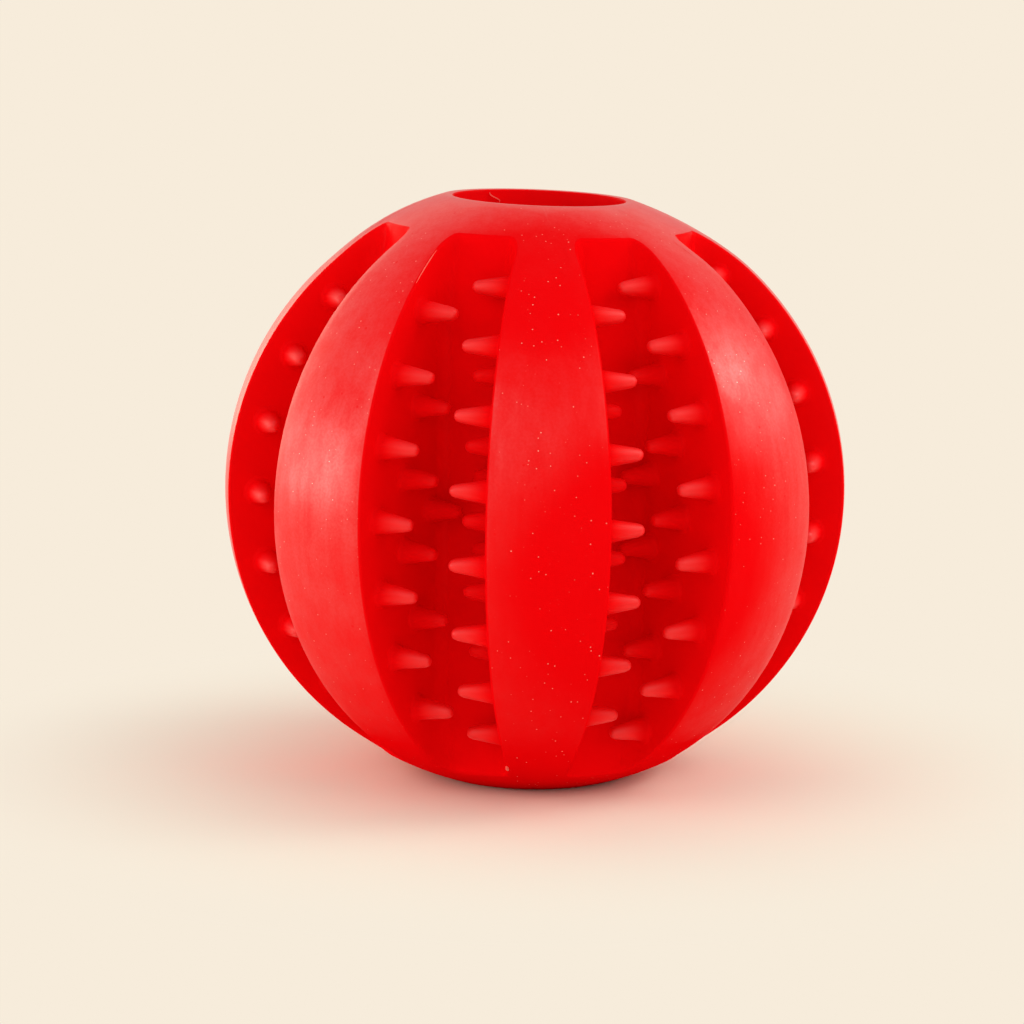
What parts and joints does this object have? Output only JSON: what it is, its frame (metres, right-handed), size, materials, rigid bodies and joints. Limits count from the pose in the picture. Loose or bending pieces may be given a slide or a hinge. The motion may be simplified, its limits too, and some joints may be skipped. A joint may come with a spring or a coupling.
{
  "type": "treat dispensing ball",
  "caption": "Ribbed red rubber treat dispensing ball with a hollow core open at both ends, deep grooves from mouth to mouth and rows of small teeth inside the grooves.",
  "frame": {"origin": "the ball's centre, midway between its two mouths", "axes": "+Z runs through both mouths. The grooves lie on the X and Y axes and midway between them, with a rib between each two."},
  "size_m": [0.0682, 0.0682, 0.0654],
  "materials": {
    "red_rubber": "satin"
  },
  "bodies": {
    "root": {"core_sleeve": "red_rubber", "top_collar": "red_rubber", "bottom_collar": "red_rubber", "rib_1": "red_rubber", "rib_2": "red_rubber", "rib_3": "red_rubber", "rib_4": "red_rubber", "rib_5": "red_rubber", "rib_6": "red_rubber", "rib_7": "red_rubber", "rib_8": "red_rubber", "rib_1_left_teeth": "red_rubber", "rib_1_right_teeth": "red_rubber", "rib_2_left_teeth": "red_rubber", "rib_2_right_teeth": "red_rubber", "rib_3_left_teeth": "red_rubber", "rib_3_right_teeth": "red_rubber", "rib_4_left_teeth": "red_rubber", "rib_4_right_teeth": "red_rubber", "rib_5_left_teeth": "red_rubber", "rib_5_right_teeth": "red_rubber", "rib_6_left_teeth": "red_rubber", "rib_6_right_teeth": "red_rubber", "rib_7_left_teeth": "red_rubber", "rib_7_right_teeth": "red_rubber", "rib_8_left_teeth": "red_rubber", "rib_8_right_teeth": "red_rubber"}
  },
  "joints": []
}
